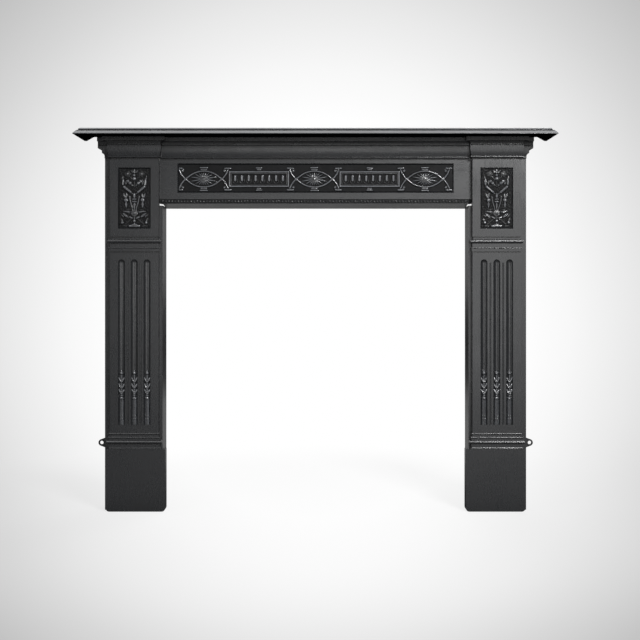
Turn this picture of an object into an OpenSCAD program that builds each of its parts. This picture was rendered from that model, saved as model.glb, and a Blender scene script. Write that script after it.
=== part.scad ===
// Cast iron mantelpiece in a plain neoclassical style. Two hollow pilaster jambs
// stand on the hearth, a frieze is bolted between them, and a moulded shelf is
// bolted down on top. Relief plates, husk drops and a bead strip are riveted into
// their recesses, and a lug on each side takes the screw that holds it to the wall.
// X runs along the width, the front faces -Y, and Z is up.

/* [Overall] */
// Height from the hearth to the top of the shelf
overall_h = 1223; // [1090:1:1350]
// Length of the shelf from tip to tip
shelf_w = 1530; // [1370:1:1680]
// Depth of the shelf from the wall to its nose
shelf_d = 205; // [185:1:240]
// Length of shelf that runs past the jamb at each end
shelf_overhang = 85; // [60:1:110]
// Width of a jamb
jamb_w = 186; // [168:1:205]
// Height of the frieze, from its lower edge to the cornice
frieze_h = 150.5; // [138:0.5:168]

/* [Castings] */
// Thickness of the plain cast walls
wall = 6; // [5:0.5:7]
// Thickness of the pilaster face, which the flutes and the panel cut into
face_t = 14; // [13:0.5:18]
// Thickness of the frieze plate, which the relief recess cuts into
frieze_t = 12; // [11:0.5:15]
// Distance from the wall to the face of the margins and of the frieze
margin_d = 100; // [90:1:110]
// Distance that the pilasters stand forward of the margins
pilaster_step = 24; // [20:1:30]
// Distance that the plinths stand forward of the pilasters
plinth_step = 11; // [10:0.5:14]
// Width of the flat margin beside the fire opening
inner_margin = 10; // [10:0.5:12]
// Width of the flat margin at the outer edge of a jamb
outer_margin = 20; // [16:1:24]
// Gap left between two castings that stand side by side
fit_gap = 0.4; // [0.2:0.1:1]

/* [Jambs] */
// Height of the plain plinth block
plinth_h = 200; // [180:1:220]
// Radius of the lower corners of the plinth
plinth_corner_r = 12.5; // [10:0.5:16]
// Distance that the plinth's outer edge lies inside the outer side of the jamb
plinth_inset = 7.5; // [7:0.5:9.5]
// Distance that the plinth's front stands into the fire opening
plinth_proud = 13; // [12:0.5:15]
// Height of the square block at the head of the pilaster
block_h = 247.5; // [240:0.5:260]
// Width of the flutes
flute_w = 22; // [20:0.5:24]
// Depth of the flutes
flute_depth = 7; // [6:0.5:8]
// Distance from the side of the pilaster to the centre of the first flute
flute_edge = 37; // [32:0.5:42]
// Radius of the fine groove between two flutes
groove_r = 2.5; // [2:0.1:3]
// Flat left below the flutes
flute_foot = 23; // [18:1:30]
// Flat left above the flutes
flute_head = 22; // [18:1:30]
// Height of the husk drops that stand in the flutes
husk_h = 182; // [160:1:200]

/* [Relief recesses] */
// Width of the flat border round the floral panel in the block
floral_border = 25.5; // [22:0.5:30]
// Flat left between an end of the long panel and the jamb's margin
frieze_panel_end = 48; // [40:1:60]
// Flat left above the long panel in the frieze
frieze_panel_top = 10; // [9:0.5:12]
// Flat left below the long panel in the frieze
frieze_panel_foot = 20.5; // [18:0.5:24]
// Depth of the recesses
recess_depth = 6.5; // [5.5:0.5:7]
// Width of the bevel round a recess
recess_bevel = 4; // [2:0.5:5]
// Thickness of the plates under the reliefs
plate_t = 1.5; // [1.2:0.1:2]
// Height of the relief above its plate
relief_h = 3.5; // [3:0.5:4]

/* [Frieze foot] */
// Distance that the soffit falls from the bead channel to the wall
soffit_fall = 10; // [8:0.5:12]
// Thickness of the soffit
soffit_t = 4.5; // [4:0.1:4.8]
// Height of the gap between a jamb's inner margin and the bead channel
slot_h = 5.5; // [5:0.5:7]
// Height of the notch that lets the gap through the pilaster's inner side
notch_h = 10; // [8:0.5:11]
// Height of the channel that holds the bead strip
bead_band_h = 15; // [14:0.5:16]
// Depth of the channel that holds the bead strip
bead_band_depth = 6; // [5:0.5:7]
// Radius of the beads
bead_r = 4.4; // [4:0.1:4.8]
// Distance between the centres of two beads
bead_pitch = 10.2; // [9.8:0.1:12]

/* [Shelf] */
// Thickness of the shelf over its moulded edge
shelf_t = 23; // [21:0.5:26]
// Thickness of the plate between the ribs
shelf_plate_t = 8; // [6:0.5:9]
// Width of the moulded edge
edge_w = 26; // [24:0.5:29]
// Width of the flat under the nose, where the sloped underside starts
nose_flat = 8; // [6:0.5:10]
// Height of that flat above the seat of the shelf
nose_z = 2; // [1.5:0.1:3]
// Thickness of the walls under the shelf that sit on the jambs and the frieze
rim_w = 8; // [6:0.5:12]
// Radius of the bosses that take the bolts
boss_r = 11; // [10:0.5:13]

/* [Fasteners] */
// Radius of the bolt shanks
bolt_r = 4; // [3.5:0.1:4.5]
// Clearance round a bolt in a cast hole
bolt_clearance = 0.6; // [0.3:0.1:1]
// Width across the flats of the heads and nuts
hex_af = 13; // [12:0.5:14]
// Height of a bolt head
head_h = 5.3; // [5:0.1:6]
// Height of a nut
nut_h = 6.5; // [6:0.1:7]
// Radius of a washer
washer_r = 8.5; // [8:0.1:9]
// Thickness of a washer
washer_t = 1.6; // [1.2:0.1:2]
// Distance from the wall to the bolts
bolt_d = 62; // [55:1:70]
// Distance from the side of a pilaster to the bolt into the shelf
shelf_bolt_inset = 40; // [30:1:50]
// Distance from the ends of the frieze's end flange to its bolts
flange_bolt_inset = 22; // [18:1:30]
// Radius of the rivet shanks behind the reliefs
rivet_r = 2.4; // [2:0.1:2.8]
// Clearance round a rivet in its hole
rivet_clearance = 0.2; // [0.1:0.05:0.3]
// Radius of a peened rivet head
rivet_head_r = 4.5; // [4:0.1:5]
// Height of a peened rivet head
rivet_head_h = 1.8; // [1.5:0.1:2]

/* [Wall lugs] */
// Distance from the side of a jamb to the hole in its lug
lug_reach = 27; // [24:0.5:32]
// Radius of the rounded end of a lug
lug_r = 11; // [10:0.5:13]
// Radius of the hole in a lug
lug_hole_r = 5.8; // [5:0.1:6.5]
// Height of the lug where it leaves the jamb
lug_root_h = 44; // [40:0.5:48]
// Thickness of a lug
lug_t = 6; // [5:0.5:8]
// Length of the leg that is riveted to the side of the jamb
lug_leg = 40; // [34:1:50]
// Height of the lug holes above the hearth
lug_z = 205; // [150:1:220]

/* [Hidden] */
$fn = 96;

LEFT = -1;
RIGHT = 1;
base_h = 54;          // mouldings between the plinth and the shaft
neck_h = 51;          // mouldings between the shaft and the block
cornice_h = 71.5;     // mouldings between the block and the shelf
cornice_out = 22;     // how far the top of the cornice stands out
core = 12;            // depth of solid drawn behind a moulding's face
quirk = 7;            // depth of the shadow grooves between a face and a moulding
over = 1;             // overshoot of a cut past the face it opens

// Heights
cornice_top = overall_h - shelf_t;
cornice_z = cornice_top - cornice_h;
opening_h = cornice_z - frieze_h;
block_z = cornice_z - block_h;
neck_z = block_z - neck_h;
shaft_z = plinth_h + base_h;
bead_band_z = opening_h + soffit_fall;
margin_top = bead_band_z - slot_h;
frieze_panel_z = bead_band_z + bead_band_h + frieze_panel_foot;
frieze_panel_h = cornice_z - frieze_panel_top - frieze_panel_z;
floral_z = block_z + floral_border;
floral_h = block_h - 2 * floral_border;

// Distances from the wall
pilaster_d = margin_d + pilaster_step;
plinth_d = pilaster_d + plinth_step;
pilaster_hollow_d = pilaster_d - face_t;
frieze_back_d = margin_d - frieze_t;

// Widths
surround_w = shelf_w - 2 * shelf_overhang;
opening_w = surround_w - 2 * jamb_w;
frieze_panel_w = opening_w - 2 * frieze_panel_end;

// Places across one jamb, counted outwards from the fire opening
pilaster_in = inner_margin;
pilaster_out = jamb_w - outer_margin;
pilaster_w = pilaster_out - pilaster_in;
pilaster_mid = (pilaster_in + pilaster_out) / 2;
floral_w = pilaster_w - 2 * floral_border;

// Flutes: a round section of the stated width and depth
flute_r = (pow(flute_w / 2, 2) + pow(flute_depth, 2)) / (2 * flute_depth);
flute_axis_d = pilaster_d - flute_depth + flute_r;
flute_z = shaft_z + flute_foot;
flute_top = neck_z - flute_head;
flute_pitch = pilaster_w / 2 - flute_edge;
flute_xs = [for (i = [-1 : 1]) pilaster_mid + i * flute_pitch];
groove_xs = [for (i = [-0.5, 0.5]) pilaster_mid + i * flute_pitch];

// Frieze, and the bolts that hold it
frieze_half = opening_w / 2 + inner_margin;
flange_d = 42;        // front-to-back place where the end and top flanges stop
frieze_bolt_zs = [bead_band_z + flange_bolt_inset, cornice_z - flange_bolt_inset];
frieze_top_xs = [for (i = [-1 : 1]) i * 0.3 * opening_w];
shelf_bolt_xs = [pilaster_in + shelf_bolt_inset, pilaster_out - shelf_bolt_inset];
bolt_bite = 12;       // how far the bolts reach into the shelf
hole_depth = 13.5;    // depth of the tapped holes in the shelf
rivet_inset = 9;      // rivets' distance from the corners of their plate
lug_rivet_zs = [lug_z - lug_root_h / 4, lug_z + lug_root_h / 4];

// Husk drops: the axis of their round forms, and their rivets above the foot of the flutes
husk_axis_d = pilaster_d - flute_depth + 2;
husk_rivet_zs = [for (share = [0.06, 0.35, 0.9]) share * husk_h];

// ---- Drawing helpers: d is the distance out from the wall ----

// Box between two points given as x, d and z
module block(x0, x1, d0, d1, z0, z1)
    translate([x0, -d1, z0]) cube([x1 - x0, d1 - d0, z1 - z0]);

// Runs a section drawn as (d, z) along the width
module run_x(x0, x1)
    translate([x0, 0, 0]) rotate([90, 0, 90]) linear_extrude(x1 - x0) mirror([1, 0]) children();

// Runs an elevation drawn as (x, z) out from the wall
module run_d(d0, d1)
    translate([0, -d0, 0]) rotate([90, 0, 0]) linear_extrude(d1 - d0) children();

// Runs a plan drawn as (x, d) upwards
module run_z(z0, z1)
    translate([0, 0, z0]) linear_extrude(z1 - z0) mirror([0, 1]) children();

// Round bar out from the wall
module bar_d(x, z, r, d0, d1)
    translate([x, -d0, z]) rotate([90, 0, 0]) cylinder(r = r, h = d1 - d0);

// Round bar along the width
module bar_x(d, z, r, x0, x1)
    translate([x0, -d, z]) rotate([0, 90, 0]) cylinder(r = r, h = x1 - x0);

// Puts a piece that is drawn from the wall into the part's own frame
module in_frame()
    translate([0, shelf_d / 2, 0]) children();

// Puts a piece that is drawn outwards from the fire opening on one side
module on_side(side)
    in_frame() mirror([side == LEFT ? 1 : 0, 0, 0]) translate([opening_w / 2, 0, 0]) children();

// A moulding of height h, drawn as (out, z), mitred round three sides of a
// rectangular base that runs from x0 to x1 and out to d
module wrap(x0, x1, d, z, h)
    translate([0, 0, z])
        intersection() {
            run_x(x0 - 40, x1 + 40) {
                translate([d, 0]) children();
                square([d - core + over, h]);
            }
            run_d(0, d + 40) {
                translate([x1, 0]) children();
                translate([x0, 0]) mirror([1, 0]) children();
                translate([x0 + core - over, 0]) square([x1 - x0 - 2 * (core - over), h]);
            }
        }

// Step of a moulding, solid from the core out to the given distance
module step(out, z0, z1)
    translate([-core, z0]) square([out + core, z1 - z0]);

// ---- Moulding sections, drawn as (out, z) from the face they wrap ----

module cornice_section() {
    sweep = 105;
    step(-2, 0, 6.5);
    step(3, 6, 13);
    translate([3, 9.3]) circle(r = 3.2);
    intersection() {
        step(8, 12, 46);
        translate([8 - sweep, 45]) circle(r = sweep);
    }
    step(5.5, 45, 50.5);
    translate([5.5, 48.2]) circle(r = 2.3);
    difference() {
        step(cornice_out - 1.5, 50, 60);
        translate([cornice_out - 1.5, 49.5]) circle(r = 14);
    }
    step(cornice_out, 59.5, cornice_h);
}

// The plainer section on the outer side of a jamb's cornice
module return_section() {
    step(0.5, 0, 25);
    difference() {
        step(9, 11, 39);
        translate([12.5, 11.5]) circle(r = 12);
    }
    step(cornice_out, 38.5, cornice_h);
}

module neck_section() {
    step(-2, 0, 4);
    step(2.5, 3.5, 15);
    translate([2, 14]) circle(r = 2.4);
    step(0, 14, 31);
    translate([0.5, 35.8]) circle(r = 6.5);
    step(0.5, 30, 42.5);
    step(-3, 42, neck_h);
}

module base_section() {
    step(3, 0, 17.5);
    difference() {
        step(6.5, 0, 5);
        translate([7.5, 5]) circle(r = 4.5);
    }
    step(6.5, 17, 27);
    translate([6.5, 21.8]) circle(r = 5);
    step(3, 26.5, 37);
    translate([3, 36.4]) circle(r = 2.6);
    step(1, 36, base_h);
    translate([1, 48.4]) circle(r = 2.5);
}

// ---- Jambs ----

module plinth_elevation() {
    x0 = -plinth_proud;
    x1 = jamb_w - plinth_inset;
    translate([x0 + plinth_corner_r, 0]) square([x1 - x0 - 2 * plinth_corner_r, plinth_h]);
    translate([x0, plinth_corner_r]) square([x1 - x0, plinth_h - plinth_corner_r]);
    for (x = [x0 + plinth_corner_r, x1 - plinth_corner_r])
        translate([x, plinth_corner_r]) circle(r = plinth_corner_r);
}

// Cap of the pilaster, grown by the gap that the frieze leaves round it
module cap(grow)
    wrap(pilaster_in - grow, pilaster_out + grow, pilaster_d + grow, cornice_z, cornice_h)
        cornice_section();

// Cornice over the outer margin, with its plainer return
module outer_cornice()
    translate([0, 0, cornice_z])
        intersection() {
            run_x(pilaster_mid, jamb_w + 40) {
                translate([margin_d, 0]) cornice_section();
                square([margin_d - core + over, cornice_h]);
            }
            run_d(0, margin_d + 40) {
                translate([jamb_w, 0]) return_section();
                translate([pilaster_mid, 0]) square([jamb_w - pilaster_mid - core + over, cornice_h]);
            }
        }

module jamb_outside() {
    run_d(margin_d - over, plinth_d) plinth_elevation();
    block(0, jamb_w, 0, margin_d, 0, margin_top);
    block(pilaster_in, jamb_w, 0, margin_d, plinth_h / 2, cornice_z + over);
    block(pilaster_in, pilaster_out, 0, pilaster_d, shaft_z - over, neck_z + over);
    block(pilaster_in, pilaster_out, 0, pilaster_d, block_z - over, cornice_z + over / 2);
    // The base ends at the margin, so the side of the opening behind it is plain
    difference() {
        wrap(pilaster_in, pilaster_out, pilaster_d, plinth_h, base_h) base_section();
        block(-plinth_proud, 0, -over, margin_d, plinth_h - over, shaft_z + over);
    }
    wrap(pilaster_in, pilaster_out, pilaster_d, neck_z, neck_h) neck_section();
    cap(0);
    outer_cornice();
}

// The back of the casting is open, from the foot web to the top web
module jamb_hollow() {
    block(wall, jamb_w - wall, -over, margin_d - wall, wall, margin_top - wall);
    block(pilaster_in + wall, jamb_w - wall, -over, margin_d - wall,
        margin_top - wall - over, cornice_top - wall);
    block(pilaster_in + wall, pilaster_out - wall, -over, pilaster_hollow_d,
        plinth_h - wall - over, cornice_top - wall);
    block(wall, jamb_w - plinth_inset - wall, -over, plinth_d - wall, wall, plinth_h - wall);
    block(wall - plinth_proud, wall + over, margin_d - over + wall, plinth_d - wall,
        wall, plinth_h - wall);
}

// Shadow grooves across the front of the pilaster: over the shaft, and under and over the block
module front_quirks()
    for (z = [[neck_z, neck_z + 4], [neck_z + 42.5, block_z], [cornice_z, cornice_z + 6]])
        block(pilaster_in, pilaster_out, pilaster_d - quirk, pilaster_d + over, z[0], z[1]);

// Bevelled recess of width w and height h, its floor below a face at distance d
module recess(x, z, w, h, d)
    intersection() {
        run_x(x - w, x + w)
            polygon([
                [d - recess_depth, z + recess_bevel], [d - recess_depth, z + h - recess_bevel],
                [d, z + h], [d + over, z + h], [d + over, z], [d, z]
            ]);
        run_z(z - over, z + h + over)
            polygon([
                [x - w / 2 + recess_bevel, d - recess_depth], [x + w / 2 - recess_bevel, d - recess_depth],
                [x + w / 2, d], [x + w / 2, d + over], [x - w / 2, d + over], [x - w / 2, d]
            ]);
    }

// Round section of a flute, closed by a round head
module flute(x) {
    translate([x, -flute_axis_d, flute_z]) cylinder(r = flute_r, h = flute_top - flute_w / 2 - flute_z);
    translate([x, -flute_axis_d, flute_top - flute_w / 2]) sphere(r = flute_r);
}

module fine_groove(x)
    translate([x, -pilaster_d, flute_z]) cylinder(r = groove_r, h = flute_top - flute_w / 2 - flute_z);

function plate_corners(w, h) = [for (sx = [-1, 1], sz = [-1, 1])
    [sx * (w / 2 - recess_bevel - rivet_inset), sz * (h / 2 - recess_bevel - rivet_inset)]];
floral_rivets = [for (p = plate_corners(floral_w, floral_h))
    [pilaster_mid + p[0], floral_z + floral_h / 2 + p[1]]];
husk_rivets = [for (x = flute_xs, z = husk_rivet_zs) [x, flute_z + z]];

module jamb() {
    difference() {
        jamb_outside();
        jamb_hollow();
        // Behind the frieze the inner side is plain
        block(-cornice_out - over, pilaster_in, -over, frieze_back_d - fit_gap,
            cornice_z, cornice_top + over);
        front_quirks();
        recess(pilaster_mid, floral_z, floral_w, floral_h, pilaster_d);
        for (x = flute_xs)
            flute(x);
        for (x = groove_xs)
            fine_groove(x);
        for (p = concat(floral_rivets, husk_rivets))
            bar_d(p[0], p[1], rivet_r + rivet_clearance, margin_d, pilaster_d);
        for (z = lug_rivet_zs)
            bar_x(lug_leg / 2, z, rivet_r + rivet_clearance, jamb_w - wall - over, jamb_w + over);
        block(pilaster_in - over, pilaster_in + wall + over, -over, margin_d - wall,
            margin_top, margin_top + notch_h);
        for (z = frieze_bolt_zs)
            bar_x(bolt_d, z, bolt_r + bolt_clearance, pilaster_in - over, pilaster_in + wall + over);
        for (x = shelf_bolt_xs)
            translate([x, -bolt_d, cornice_top - wall - over])
                cylinder(r = bolt_r + bolt_clearance, h = wall + 2 * over);
    }
}

module left_jamb() color("#2f3032") on_side(LEFT) jamb();
module right_jamb() color("#3b3c3e") on_side(RIGHT) jamb();

// ---- Wall lugs ----

// Ear with a rounded end, its sides tangent to that end, drawn from its root
module lug_ear() {
    spread = sqrt(pow(lug_reach, 2) + pow(lug_root_h / 2, 2));
    lean = asin(lug_r / spread) - atan2(lug_root_h / 2, lug_reach);
    tip = [lug_reach - lug_r * sin(lean), lug_r * cos(lean)];
    difference() {
        union() {
            polygon([[0, lug_root_h / 2], tip, [tip[0], -tip[1]], [0, -lug_root_h / 2]]);
            translate([lug_reach, 0]) circle(r = lug_r);
        }
        translate([lug_reach, 0]) circle(r = lug_hole_r);
    }
}

// Lug bent to an angle: the ear lies on the wall, and the leg on the jamb's side
module wall_lug() {
    run_d(0, lug_t) translate([jamb_w, lug_z]) lug_ear();
    block(jamb_w, jamb_w + lug_t, 0, lug_leg, lug_z - lug_root_h / 2, lug_z + lug_root_h / 2);
    for (z = lug_rivet_zs) {
        bar_x(lug_leg / 2, z, rivet_r, jamb_w - wall - rivet_head_h / 2, jamb_w + lug_t + rivet_head_h / 2);
        bar_x(lug_leg / 2, z, rivet_head_r, jamb_w - wall - rivet_head_h, jamb_w - wall);
        bar_x(lug_leg / 2, z, rivet_head_r, jamb_w + lug_t, jamb_w + lug_t + rivet_head_h);
    }
}

module left_wall_lug() color("#4a4b4d") on_side(LEFT) wall_lug();
module right_wall_lug() color("#4a4b4d") on_side(RIGHT) wall_lug();

// ---- Frieze ----

frieze_rivets = [for (x = [-1, -0.34, 0.34, 1], z = [-1, 1])
    [x * (frieze_panel_w / 2 - recess_bevel - rivet_inset),
     frieze_panel_z + frieze_panel_h / 2 + z * (frieze_panel_h / 2 - recess_bevel - rivet_inset / 2)]];
bead_rivets = [for (x = [-0.94, -0.5, 0, 0.5, 0.94]) [x * frieze_half, bead_band_z + bead_band_h / 2]];

module frieze() {
    half = frieze_half - fit_gap;
    soffit_half = opening_w / 2 - fit_gap;
    channel_d = margin_d - bead_band_depth;
    color("#3a3b3d") in_frame()
        difference() {
            union() {
                block(-half, half, frieze_back_d, margin_d, bead_band_z, cornice_z + over);
                run_x(-soffit_half, soffit_half)
                    polygon([
                        [0, opening_h], [channel_d, bead_band_z],
                        [channel_d, bead_band_z + soffit_t], [0, opening_h + soffit_t]
                    ]);
                difference() {
                    translate([0, 0, cornice_z])
                        run_x(-half, half)
                            translate([margin_d, 0]) cornice_section();
                    for (s = [0, 1])
                        mirror([s, 0, 0]) translate([opening_w / 2, 0, 0]) cap(fit_gap);
                }
                block(cornice_out - half, half - cornice_out, flange_d, frieze_back_d + over,
                    cornice_top - wall, cornice_top);
                for (s = [0, 1])
                    mirror([s, 0, 0])
                        block(frieze_half - wall, frieze_half, flange_d, frieze_back_d,
                            bead_band_z + wall, cornice_z);
            }
            recess(0, frieze_panel_z, frieze_panel_w, frieze_panel_h, margin_d);
            block(-frieze_half - over, frieze_half + over, channel_d, margin_d + over,
                bead_band_z - over, bead_band_z + bead_band_h);
            block(-frieze_half, frieze_half, margin_d - quirk, margin_d + over, cornice_z, cornice_z + 6);
            for (p = concat(frieze_rivets, bead_rivets))
                bar_d(p[0], p[1], rivet_r + rivet_clearance, frieze_back_d - over, margin_d);
            for (z = frieze_bolt_zs)
                bar_x(bolt_d, z, bolt_r + bolt_clearance, -frieze_half - over, frieze_half + over);
            for (x = frieze_top_xs)
                translate([x, -bolt_d, cornice_top - wall - over])
                    cylinder(r = bolt_r + bolt_clearance, h = wall + 2 * over);
        }
}

// ---- Shelf ----

shelf_rib_xs = [for (s = [-1, 1], x = [frieze_half + wall / 2, surround_w / 2 - wall / 2]) s * x];
shelf_boss_xs = concat(
    frieze_top_xs,
    [for (s = [-1, 1], x = shelf_bolt_xs) s * (opening_w / 2 + x)]
);

// Moulded edge, drawn as (out, z): a rounded band over a thumb that ends in a nose
module shelf_edge_section() {
    band_h = 5.8;
    band_w = 8;
    thumb_w = edge_w - 9.5;
    thumb_z = nose_z + 2;
    thumb_h = shelf_t - band_h - 1 - thumb_z;
    step(0, 0, shelf_t);
    polygon([
        [0, nose_z], [edge_w - 0.7, nose_z], [edge_w, nose_z + 0.7],
        for (t = [0 : 0.125 : 1]) [edge_w - thumb_w * t, thumb_z + thumb_h * sin(90 * t)],
        for (a = [90 : -9 : 0])
            [edge_w - thumb_w + 1.5 - band_w * (1 - sin(a)), shelf_t - band_h * (1 - cos(a))],
        [0, shelf_t]
    ]);
}

// Hollow under the shelf, drawn as (to the edge, z): its side slopes up from the nose
module underside(far) {
    deep = shelf_t - shelf_plate_t;
    lean = (edge_w + 1) / deep;
    low = edge_w - nose_flat + nose_z * lean;
    polygon([
        [-far, -over], [low + lean * over, -over], [low - lean * deep, deep], [-far, deep]
    ]);
}

// Plan of the top of the jambs and frieze, drawn as (x, d) from the given back
module entablature_plan(inset, back) {
    out = cornice_out - inset;
    half = surround_w / 2 + out;
    translate([-half, back]) square([2 * half, margin_d + out - back]);
    for (s = [0, 1])
        mirror([s, 0])
            translate([opening_w / 2 + pilaster_in - out, back])
                square([pilaster_out - pilaster_in + 2 * out, pilaster_d + out - back]);
}

module mantel_shelf() {
    half = shelf_w / 2 - edge_w;
    color("#37383a") in_frame()
        translate([0, 0, cornice_top])
            difference() {
                union() {
                    difference() {
                        wrap(-half, half, shelf_d - edge_w, 0, shelf_t) shelf_edge_section();
                        intersection() {
                            run_x(-half - edge_w, half + edge_w)
                                translate([shelf_d - edge_w, 0]) underside(shelf_d);
                            run_d(-over, shelf_d)
                                for (s = [0, 1])
                                    mirror([s, 0]) translate([half, 0]) underside(half + over);
                        }
                    }
                    run_z(0, shelf_t - shelf_plate_t + over)
                        difference() {
                            entablature_plan(0, 0);
                            entablature_plan(rim_w, -over);
                        }
                    for (x = shelf_rib_xs)
                        block(x - wall / 2, x + wall / 2, 0, pilaster_d + cornice_out,
                            0, shelf_t - shelf_plate_t + over);
                    for (x = shelf_boss_xs)
                        translate([x, -bolt_d, 0]) cylinder(r = boss_r, h = shelf_t - shelf_plate_t + over);
                }
                for (x = shelf_boss_xs)
                    translate([x, -bolt_d, -over]) cylinder(r = bolt_r + 0.05, h = hole_depth + over);
            }
}

// ---- Relief plates ----

// Pointed oval of half length a and half height b, grown by g all round
module pointed_oval(a, b, g) {
    r = (a * a + b * b) / (2 * b);
    intersection() {
        translate([0, b - r]) circle(r = r + g);
        translate([0, r - b]) circle(r = r + g);
    }
}

// Leaf of length l and width w, standing on its stalk and leaning by turn
module leaf(at, l, w, turn)
    translate(at) rotate(turn) translate([0, l / 2]) rotate(90) pointed_oval(l / 2, w / 2, 0);

module stem(from, to, w)
    translate(from) rotate(atan2(to[1] - from[1], to[0] - from[0]))
        translate([0, -w / 2]) square([norm(to - from), w]);

// Raises flat figures, drawn as (x, z) from the middle of a plate, above that plate
module raise(d, h) run_d(d + plate_t - 0.2, d + plate_t + h) children();

module bead(at, r, d)
    translate([at[0], -(d + plate_t), at[1]]) sphere(r = r);

// Rivets on the back of a plate, peened over behind a web of thickness t
module rivets(places, d, t)
    for (p = places) {
        bar_d(p[0], p[1], rivet_r, d - t - rivet_head_h / 2, d + plate_t / 2);
        bar_d(p[0], p[1], rivet_head_r, d - t - rivet_head_h, d - t);
    }

// One half of the flower spray, drawn right of the middle line
module spray_half() {
    stem([0, 14], [30, 42], 3.5);
    leaf([27, 39], 24, 9, -18);
    for (a = [0 : 60 : 300])
        leaf([20, 74], 11, 7, a);
    for (a = [0 : 72 : 288])
        leaf([14, 52], 8, 6, a);
    stem([0, -6], [26, 4], 2.5);
    leaf([26, 4], 16, 6, -20);
    leaf([26, -8], 18, 9, 180);
    leaf([3, -22], 22, 8, -130);
    leaf([4, -48], 32, 9, -70);
    leaf([4, -58], 30, 9, -105);
    leaf([6, -64], 36, 8, -128);
    stem([4, -88], [18, -90], 6);
}

module floral_figure() {
    for (s = [0, 1])
        mirror([s, 0]) spray_half();
    translate([-1.75, -66]) square([3.5, 128]);
    leaf([0, 70], 22, 10, 0);
    for (a = [30 : 60 : 330])
        leaf([0, -44], 12, 8, a);
    pointed_oval(16, 5, 0);
    translate([-18, -92]) square([36, 6]);
}

module floral_panel() {
    d = pilaster_d - recess_depth;
    w = floral_w - 2 * recess_bevel - 2 * fit_gap;
    h = floral_h - 2 * recess_bevel - 2 * fit_gap;
    mid = floral_z + floral_h / 2;
    translate([pilaster_mid, 0, mid]) {
        block(-w / 2, w / 2, d, d + plate_t, -h / 2, h / 2);
        intersection() {
            raise(d, relief_h - 1.5) floral_figure();
            block(-w / 2, w / 2, d, d + plate_t + relief_h, -h / 2, h / 2);
        }
        for (p = [[0, 64, 4.5], [0, -44, 4.5], [0, 10, 4], [0, -72, 4]])
            bead([p[0], p[1]], p[2], d);
        for (s = [-1, 1], p = [[20, 74, 3.5], [14, 52, 3.5], [26, -6, 4.5], [38, -78, 4]])
            bead([s * p[0], p[1]], p[2], d);
    }
    rivets(floral_rivets, d, d - pilaster_hollow_d);
}

module left_floral_panel() color("#333436") on_side(LEFT) floral_panel();
module right_floral_panel() color("#404143") on_side(RIGHT) floral_panel();

// Ovals and frames along the frieze
oval_pitch = 0.4 * frieze_panel_w;
oval_a = 59;
oval_b = 0.31 * frieze_panel_h;
oval_band = 5.5;
frame_w = oval_pitch - 2 * oval_a - 42;
frame_h = 0.58 * frieze_panel_h;
frame_band = 7;
bars = 8;
bar_w = 10;
bar_pitch = (frame_w - 3 * frame_band) / bars;

module oval_figure() {
    difference() {
        pointed_oval(oval_a, oval_b, 0);
        pointed_oval(oval_a, oval_b, -oval_band);
    }
    for (a = [0 : 22.5 : 337.5])
        rotate(a)
            leaf([0, 5], abs(sin(a)) > 0.9 ? 34 : abs(sin(a)) > 0.5 ? 19 : 13, 5.5, 0);
    for (s = [-1, 1])
        translate([-13, s * (oval_b + 3.5) - 3.25]) square([26, 6.5]);
}

// Ribbons that cross at the tip of an oval and run to the corners beside it
module ribbon_figure() {
    for (s = [-1, 1]) {
        stem([oval_a - 14, s * 6], [oval_a + 22, s * -22], 4.5);
        stem([oval_a + 21, s * -21], [oval_a + 25, s * -36], 4.5);
        translate([oval_a + 14, s * -34]) circle(r = 4);
        stem([oval_a + 13, s * -35], [oval_a + 26, s * -36], 4);
    }
}

module frame_figure() {
    difference() {
        square([frame_w, frame_h], center = true);
        square([frame_w - 2 * frame_band, frame_h - 2 * frame_band], center = true);
    }
    for (i = [0 : bars - 1]) {
        x = (i - (bars - 1) / 2) * bar_pitch;
        translate([x - bar_w / 2, -bar_w / 2]) square([bar_w, 0.34 * frame_h]);
        translate([x, -bar_w / 2]) circle(r = bar_w / 2);
    }
    for (s = [-1, 1])
        translate([-9, s * (frame_h / 2 + 5) - 3]) square([18, 6]);
}

module frieze_relief_panel() {
    d = margin_d - recess_depth;
    w = frieze_panel_w - 2 * recess_bevel - 2 * fit_gap;
    h = frieze_panel_h - 2 * recess_bevel - 2 * fit_gap;
    mid = frieze_panel_z + frieze_panel_h / 2;
    color("#424345") in_frame() {
        translate([0, 0, mid]) {
            block(-w / 2, w / 2, d, d + plate_t, -h / 2, h / 2);
            intersection() {
                raise(d, relief_h - 1) {
                    for (i = [-1 : 1])
                        translate([i * oval_pitch, 0]) {
                            oval_figure();
                            for (s = [0, 1])
                                mirror([s, 0]) ribbon_figure();
                        }
                    for (i = [-0.5, 0.5])
                        translate([i * oval_pitch, 0]) frame_figure();
                }
                block(-w / 2, w / 2, d, d + plate_t + relief_h, -h / 2, h / 2);
            }
            for (i = [-1 : 1])
                bead([i * oval_pitch, 0], 4.8, d);
        }
        rivets(frieze_rivets, d, d - frieze_back_d);
    }
}

// Row of beads on a narrow strip
module bead_strip() {
    d = margin_d - bead_band_depth;
    half = frieze_half - 2 * fit_gap;
    count = floor((2 * half - bead_pitch) / bead_pitch);
    color("#2c2d2f") in_frame() {
        intersection() {
            union() {
                block(-half, half, d, d + plate_t, bead_band_z + over, bead_band_z + bead_band_h);
                for (i = [0 : count])
                    bead([(i - count / 2) * bead_pitch, bead_band_z + bead_band_h / 2], bead_r, d);
            }
            block(-half, half, d, margin_d, bead_band_z + over + fit_gap,
                bead_band_z + bead_band_h - fit_gap);
        }
        rivets(bead_rivets, d, d - frieze_back_d);
    }
}

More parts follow.
